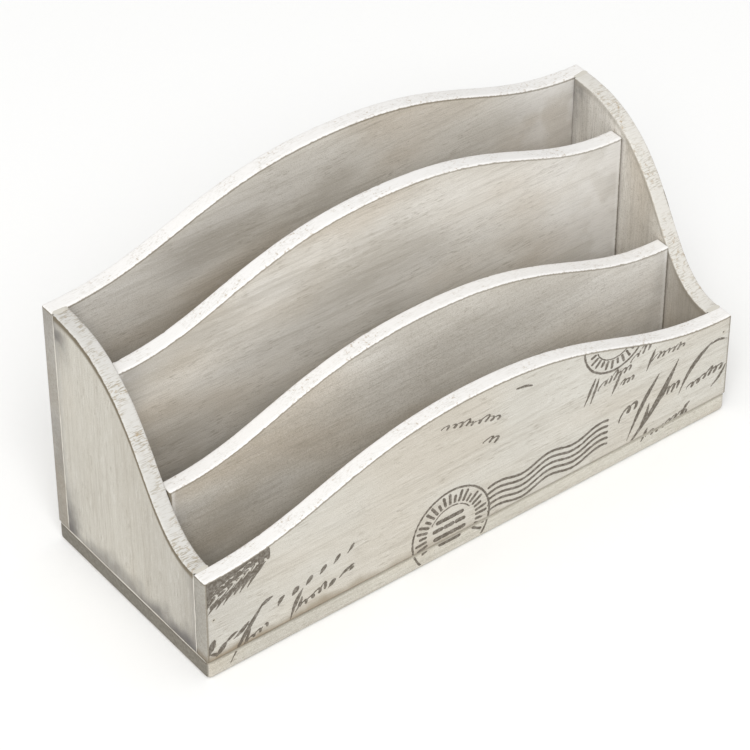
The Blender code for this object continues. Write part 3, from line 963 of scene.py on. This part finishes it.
def build_print(sizes, material_front, material_base):
    """Makes the print on the front board, and the part of it that runs onto the base board's edge."""
    half = HALF_WIDTH / MM
    step = GRID / MM
    left = 0.5 - half
    columns = round((2 * half - 1.0) / step)
    rows = round(BOX["front_board"][1].z / MM / step) + 2
    solid, light = engraved_corner()
    torn = np.maximum(ink_field(solid, columns, rows, left), -ink_field(light, columns, rows, left))
    field = np.minimum(ink_field(printed_marks(), columns, rows, left), torn)
    # The outlines are a little rough, and the ink misses the wood here and there.
    for i, j in zip(*np.nonzero(np.abs(field) < 1.0)):
        spot = Vector((i * step, j * step, 0))
        missed = max(0, noise.noise(spot / 3.1 + Vector((9, 9, 9))) - 0.22)
        field[i, j] += noise.noise(spot / 0.9) * 0.20 + missed * 0.6
    top_of = crowned_top("front_board", sizes)
    x = left + step * np.arange(columns)
    z = step * np.arange(rows)[None, :]
    tops = np.array([top_of(v * MM) / MM for v in x])[:, None] - TOP_MARGIN
    past_end = np.abs(x)[:, None] - half
    seam = SEAM_Z / MM
    for name, node, material, limits in (
        ("ink_front", "front_board", material_front,
         (z - tops, seam + ABOVE_SEAM - z, past_end + END_MARGIN)),
        ("ink_base", "base_board", material_base,
         (z - (seam - BELOW_SEAM), BOTTOM_MARGIN - z, past_end + BASE_END_MARGIN)),
    ):
        limited = field
        for limit in limits:
            limited = np.maximum(limited, limit)
        limited[[0, -1], :] = 1.0
        limited[:, [0, -1]] = 1.0
        sheet = cut_sheet(name, limited, left, FRONT_FACE_Y)
        low, high = BOX[node]
        mark(sheet, 0, low, high, top_of if node == "front_board" else flat_top(high.z), True)
        settle(sheet, material)


# ---------------------------------------------------------------------------------------------
# Paint left along the joints


BEAD_SPACING = 1.1 * MM  # between two cross-sections of a ridge
BEAD_SECTION = ((-1.0, -0.9), (-1.0, 0.0), (-0.6, 0.7), (0.0, 1.0), (0.6, 0.7), (1.0, 0.0), (1.0, -0.9))
BEAD_STOP = 0.5 * MM  # how far a ridge stops short of a top edge
BEAD_INSET = 1.5 * MM  # how far the ridge at the foot stops short of the front and the back


def bead(mesh, start, end, outward, width, height, seed):
    """Adds a low ridge of paint between two points: a thin dome in section, uneven along its length."""
    start, end, outward = Vector(start), Vector(end), Vector(outward)
    way = (end - start).normalized()
    side = way.cross(outward)
    length = (end - start).length
    count = max(6, round(length / BEAD_SPACING))
    loops = []
    for k in range(count + 1):
        place = k / count
        slow = noise.noise(Vector((place * length / (11 * MM), seed, 0.5)))
        quick = noise.noise(Vector((place * length / (2.5 * MM), seed, 4.5)))
        taper = min(1.0, 0.35 + 8 * min(place, 1 - place))
        wide = width / 2 * taper * (1 + 0.35 * slow + 0.2 * quick)
        tall = height * taper * (1 + 0.4 * quick)
        drift = side * (0.14 * width * slow)
        middle = start + way * (length * place) + drift
        loops.append([
            mesh.verts.new(middle + side * (wide * u) + outward * (tall * v)) for u, v in BEAD_SECTION
        ])
    total = len(BEAD_SECTION)
    for one, two in zip(loops, loops[1:]):
        for k in range(total):
            mesh.faces.new((one[k], one[(k + 1) % total], two[(k + 1) % total], two[k]))
    mesh.faces.new(loops[0])
    mesh.faces.new(loops[-1])


def build_beads(sizes, material):
    """Makes the paint ridges on both ends of the organizer: up the joints with the front and the back, along
    the foot and across the seams on top.
    """
    for side, sign in (("left", -1), ("right", 1)):
        panel_low, panel_high = BOX[side + "_side_panel"]
        x = sign * HALF_WIDTH
        out = (sign, 0, 0)
        top_of = side_top(side + "_side_panel", sizes)
        mesh = bmesh.new()
        front_y = (panel_low.y + BOX["front_board"][1].y) / 2
        back_y = (panel_high.y + BOX["back_board"][0].y) / 2
        foot = SEAM_Z + 0.6 * MM
        front_top, back_top = top_of(panel_low.y), top_of(panel_high.y)
        for start, end, seed in (
            ((x, front_y, foot), (x, front_y, front_top - BEAD_STOP), 3),
            ((x, back_y, foot), (x, back_y, back_top - BEAD_STOP), 8),
            ((x, FRONT_FACE_Y + BEAD_INSET, SEAM_Z), (x, BACK_FACE_Y - BEAD_INSET, SEAM_Z), 14),
        ):
            bead(mesh, start, end, out, sizes.bead_width, sizes.bead_height, seed + sign)
        # Paint that bridges the seams on the top edges: wider and flatter.
        inner = panel_high.x if sign < 0 else panel_low.x
        first_x, last_x = x - sign * 0.35 * MM, inner + sign * 0.4 * MM
        for y, height, seed in ((front_y, front_top, 20), (back_y, back_top, 26)):
            bead(mesh, (first_x, y, height), (last_x, y, height), (0, 0, 1),
                 3.4 * sizes.bead_width, 0.8 * sizes.bead_height, seed + sign)
        bmesh.ops.recalc_face_normals(mesh, faces=mesh.faces)
        piece = finish_mesh(f"paint_beads_{side}", mesh)
        shade(piece)
        settle(piece, material)


# ---------------------------------------------------------------------------------------------
# Filled brad holes


FILLER_GAP = 0.02 * MM  # between the filler and the wood or the head round it
FILLER_SUNK = 0.12 * MM  # how far its rim lies below the face


def build_filler(material):
    """Makes the filler over the brad heads in the front and the back. Two heads still show through it."""
    for face in ("front", "back"):
        mesh = bmesh.new()
        for name in BRADS:
            if not name.startswith(f"brad_{face}_"):
                continue
            low, high = BOX[name]
            axis, (head, tip) = brad_axis(name)
            outer = FRONT_FACE_Y if face == "front" else BACK_FACE_Y
            way = math.copysign(1, tip - head)
            radius = (high.x - low.x) / 2 + BORE_CLEARANCE - FILLER_GAP
            bottom = head - way * FILLER_GAP
            rim, dish = outer + way * FILLER_SUNK, outer + way * 0.08 * MM
            profile = [(bottom, radius), (rim, radius), (dish, radius * 0.7)]
            if name in OPEN_HEADS:
                profile += [
                    (outer + way * 0.10 * MM, HEAD_SHOWING + 0.1 * MM),
                    (outer + way * 0.16 * MM, HEAD_SHOWING),
                    (bottom, HEAD_SHOWING),
                ]
            else:
                profile = [(bottom, 0), *profile, (outer + way * 0.07 * MM, 0)]
            turned(mesh, axis, (low + high) / 2, profile, closed=name in OPEN_HEADS)
        bmesh.ops.recalc_face_normals(mesh, faces=mesh.faces)
        piece = finish_mesh(f"brad_filler_{face}", mesh)
        shade(piece)
        settle(piece, material)


# ---------------------------------------------------------------------------------------------
# Operators


def settings(context):
    """The sizes, colours and stage values of the scene."""
    scene = context.scene
    return scene.organizer_sizes, scene.organizer_colours, scene.organizer_stage


# How each board is washed, glazed and painted: see whitewashed_wood.
FRONT_FINISH = {
    "clouds": 0.24, "foot": (0.9, 6.5, 0.1), "ends": (0.10, 5.0), "end_face": 0.52, "line": (0.7, 0.45, 1.0),
    "top_glaze": 0.12, "corner": 0.6, "seam": 0.5, "tints": (0.22, 0.2), "offset": 3.0,
}
BASE_FINISH = {
    "clouds": 0.30, "foot": (0.35, 1.6, 1.0), "ends": (0.5, 1.4), "end_face": 1.0, "line": (0.35, 0.1, 1.0),
    "top_glaze": 0.0, "tints": (0.3, 0.2), "offset": 71.0, "painted_edge": 0.0,
}
# On the dividers the foot reaches far up: painted shade, darker down in the slots.
DIVIDER_FINISH = {
    "clouds": 0.62, "foot": (0.45, 60.0, 0.6), "ends": (0.22, 16.0), "line": (0.6, 0.4, 0.8), "crack": 0.9,
    "tints": (0.36, 0.42),
}
# On the back board the long foot is painted shade, darker down in the slots, and pale_end is painted light,
# whiter towards its right end.
BACK_FINISH = {
    "clouds": 0.75, "foot": (0.3, 30.0, 0.8), "ends": (0.25, 22.0), "end_face": 0.51,
    "line": (0.7, 0.45, 1.0),
    "tints": (0.36, 0.42), "pale_end": 0.6, "offset": 47.0,
}
# On the panels, slot is painted shade: darker on the inner face in the narrow slot behind the front board.
PANEL_FINISH = {
    "clouds": 0.45, "foot": (0.95, 14.0, 0.6), "ends": (0.3, 4.5), "end_face": 0.2, "line": (1.0, 1.9, 0.25),
    "top_glaze": 0.35, "smudge": 0.95, "slot": 0.55, "tints": (0.36, 0.25),
}


class ORGANIZER_OT_front_board(bpy.types.Operator):
    """Build the printed front board"""

    bl_idname = "organizer.front_board"
    bl_label = "Front Board"

    def execute(self, context):
        sizes, colours, _ = settings(context)
        material = whitewashed_wood("whitewashed_pine_front", colours, colours.front_wash, 0,
                                    foot_colour=colours.foot_glaze, **FRONT_FINISH)
        build_board("front_board", 0, crowned_top("front_board", sizes), sizes, material, "front_wood", 11)
        return {"FINISHED"}


class ORGANIZER_OT_dividers(bpy.types.Operator):
    """Build the front and rear dividers"""

    bl_idname = "organizer.dividers"
    bl_label = "Dividers"

    def execute(self, context):
        sizes, colours, _ = settings(context)
        # Painted light: pale_end whitens each divider towards its right end.
        for node, seed, pale_end in (("front_divider", 23, 0.15), ("rear_divider", 31, 0.5)):
            material = whitewashed_wood(
                f"whitewashed_pine_{node}", colours, colours.board_wash_and_painted_light, 0, foot_colour=colours.taupe_glaze,
                pale_end=pale_end, offset=float(seed), **DIVIDER_FINISH,
            )
            build_board(node, 0, crowned_top(node, sizes), sizes, material, "board_wood", seed)
        return {"FINISHED"}


class ORGANIZER_OT_back_board(bpy.types.Operator):
    """Build the back board"""

    bl_idname = "organizer.back_board"
    bl_label = "Back Board"

    def execute(self, context):
        sizes, colours, _ = settings(context)
        # The lighter board wash is partly painted light against the shade inside the organizer.
        material = whitewashed_wood("whitewashed_pine_back", colours, colours.board_wash_and_painted_light, 0,
                                    foot_colour=colours.taupe_glaze, **BACK_FINISH)
        build_board("back_board", 0, crowned_top("back_board", sizes), sizes, material, "board_wood", 43,
                    outer_is_low=False)
        return {"FINISHED"}


class ORGANIZER_OT_side_panels(bpy.types.Operator):
    """Build the left and right side panels"""

    bl_idname = "organizer.side_panels"
    bl_label = "Side Panels"

    def execute(self, context):
        sizes, colours, _ = settings(context)
        # The left panel's edge takes darker paint and more end-grain ticks than the right's: painted shade
        # over the same end grain.
        for node, seed, paint, ticks_and_painted_shade in (
            ("left_side_panel", 57, colours.left_edge_paint_and_painted_shade, 0.95),
            ("right_side_panel", 61, colours.panel_edge_paint, 0.6),
        ):
            # The panels' inner faces get a lighter copy of the wash as painted light.
            material = whitewashed_wood(
                f"whitewashed_pine_{node}", colours, colours.panel_wash, 2,
                inner_wash_painted_light=colours.panel_inner_painted_light, foot_colour=colours.dark_glaze,
                edge=(paint, colours.panel_edge_shade, ticks_and_painted_shade, 0.9), offset=float(seed), **PANEL_FINISH,
            )
            build_board(node, 1, side_top(node, sizes), sizes, material, "panel_wood", seed,
                        outer_is_low=node.startswith("left"), round_ends=0.3 * MM)
        return {"FINISHED"}


class ORGANIZER_OT_base_board(bpy.types.Operator):
    """Build the base board"""

    bl_idname = "organizer.base_board"
    bl_label = "Base Board"

    def execute(self, context):
        sizes, colours, _ = settings(context)
        low, high = BOX["base_board"]
        material = whitewashed_wood("glazed_pine_base", colours, colours.base_wash, 0, **BASE_FINISH)
        build_board("base_board", 0, flat_top(high.z), sizes, material, "base_wood", 71,
                    round_low=sizes.base_round, round_ends=sizes.base_round)
        return {"FINISHED"}


class ORGANIZER_OT_brads(bpy.types.Operator):
    """Finish the brads and fill the holes over most of their heads"""

    bl_idname = "organizer.brads"
    bl_label = "Brads"

    def execute(self, context):
        _, colours, _ = settings(context)
        steel = dulled_steel("dulled_steel_brads", colours.brad)
        for name in BRADS:
            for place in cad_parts[name].material_slots:
                place.material = steel
        build_filler(dried_paint("wood_filler_painted", colours.filler, colours.taupe_glaze))
        return {"FINISHED"}


class ORGANIZER_OT_paint_beads(bpy.types.Operator):
    """Leave ridges of paint along the joints at both ends and across the seams on top"""

    bl_idname = "organizer.paint_beads"
    bl_label = "Paint Beads"

    def execute(self, context):
        sizes, colours, _ = settings(context)
        build_beads(sizes, dried_paint("dried_white_paint", colours.bead_paint, colours.taupe_glaze))
        return {"FINISHED"}


class ORGANIZER_OT_print(bpy.types.Operator):
    """Print the front with stamps and pen flourishes that say nothing"""

    bl_idname = "organizer.print"
    bl_label = "Print"

    def execute(self, context):
        sizes, colours, _ = settings(context)
        front = whitewashed_wood("stamping_ink_front", colours, colours.front_wash, 0, ink=colours.ink,
                                 foot_colour=colours.foot_glaze, **FRONT_FINISH)
        base = whitewashed_wood("stamping_ink_base", colours, colours.base_wash, 0, ink=colours.ink,
                                **BASE_FINISH)
        build_print(sizes, front, base)
        return {"FINISHED"}


# Places and widths of the two lights, in metres.
KEY_LIGHT = ((-1.95, -2.75, 3.8), 3.0)
FILL_LIGHT = ((-3.4, -0.4, 2.0), 2.5)
FLOOR_HALF_WIDTH = 6.0
CAMERA_SENSOR = 36  # millimetres
CAMERA_REACH = 30


class ORGANIZER_OT_stage(bpy.types.Operator):
    """Set up the pale floor, the soft light and the camera"""

    bl_idname = "organizer.stage"
    bl_label = "Stage"

    def execute(self, context):
        _, colours, stage = settings(context)
        scene = context.scene
        mesh = bmesh.new()
        bmesh.ops.create_grid(mesh, x_segments=4, y_segments=4, size=FLOOR_HALF_WIDTH)
        floor = finish_mesh("floor", mesh)
        floor.data.materials.append(backdrop_paper("matte_paper_floor", colours.floor))

        world = bpy.data.worlds.new("even_sky")
        world.use_nodes = True
        world.node_tree.nodes.clear()
        sky = add(world.node_tree, "ShaderNodeBackground", {"Color": (1.0, 1.0, 1.0), "Strength": stage.sky})
        add(world.node_tree, "ShaderNodeOutputWorld", {"Surface": sky})
        scene.world = world

        aim = Vector(stage.aim)
        for name, (place, width), power in (
            ("key_light", KEY_LIGHT, stage.key_power),
            ("fill_light", FILL_LIGHT, stage.fill_power),
        ):
            lamp = bpy.data.lights.new(name, "AREA")
            lamp.size = width
            lamp.energy = power
            light = bpy.data.objects.new(name, lamp)
            light.location = place
            light.rotation_euler = (aim - light.location).to_track_quat("-Z", "Y").to_euler()
            context.collection.objects.link(light)

        lens = bpy.data.cameras.new("camera")
        lens.lens = stage.focal_length
        lens.sensor_width = CAMERA_SENSOR
        lens.clip_end = CAMERA_REACH
        camera = bpy.data.objects.new("camera", lens)
        level, up = math.cos(stage.elevation), math.sin(stage.elevation)
        back = Vector((math.sin(stage.azimuth) * level, -math.cos(stage.azimuth) * level, up))
        camera.location = aim + back * stage.distance
        camera.rotation_euler = (-back).to_track_quat("-Z", "Y").to_euler()
        context.collection.objects.link(camera)
        scene.camera = camera
        scene.view_settings.view_transform = "Standard"
        return {"FINISHED"}


OPERATORS = (
    ORGANIZER_OT_base_board,
    ORGANIZER_OT_front_board,
    ORGANIZER_OT_dividers,
    ORGANIZER_OT_back_board,
    ORGANIZER_OT_side_panels,
    ORGANIZER_OT_brads,
    ORGANIZER_OT_paint_beads,
    ORGANIZER_OT_print,
    ORGANIZER_OT_stage,
)


class ORGANIZER_PT_panel(bpy.types.Panel):
    """Lists the organizer's pieces and settings"""

    bl_idname = "ORGANIZER_PT_panel"
    bl_label = "Desk Organizer"
    bl_space_type = "VIEW_3D"
    bl_region_type = "UI"
    bl_category = "Organizer"

    def draw(self, context):
        for operator in OPERATORS:
            self.layout.operator(operator.bl_idname)
        for group in settings(context):
            box = self.layout.box()
            for name in group.__annotations__:
                box.prop(group, name)


GROUPS = {
    "organizer_sizes": ORGANIZER_PG_sizes,
    "organizer_colours": ORGANIZER_PG_colours,
    "organizer_stage": ORGANIZER_PG_stage,
}


def register():
    """Makes the settings, the operators and the panel known to Blender."""
    for kind in (*GROUPS.values(), *OPERATORS, ORGANIZER_PT_panel):
        bpy.utils.register_class(kind)
    for name, kind in GROUPS.items():
        setattr(bpy.types.Scene, name, PointerProperty(type=kind))


def unregister():
    """Takes them away again."""
    for name in GROUPS:
        delattr(bpy.types.Scene, name)
    for kind in (ORGANIZER_PT_panel, *reversed(OPERATORS), *GROUPS.values()):
        bpy.utils.unregister_class(kind)


def main():
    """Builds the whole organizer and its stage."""
    register()
    for operator in OPERATORS:
        group, name = operator.bl_idname.split(".")
        getattr(getattr(bpy.ops, group), name)()


if __name__ == "__main__":
    main()
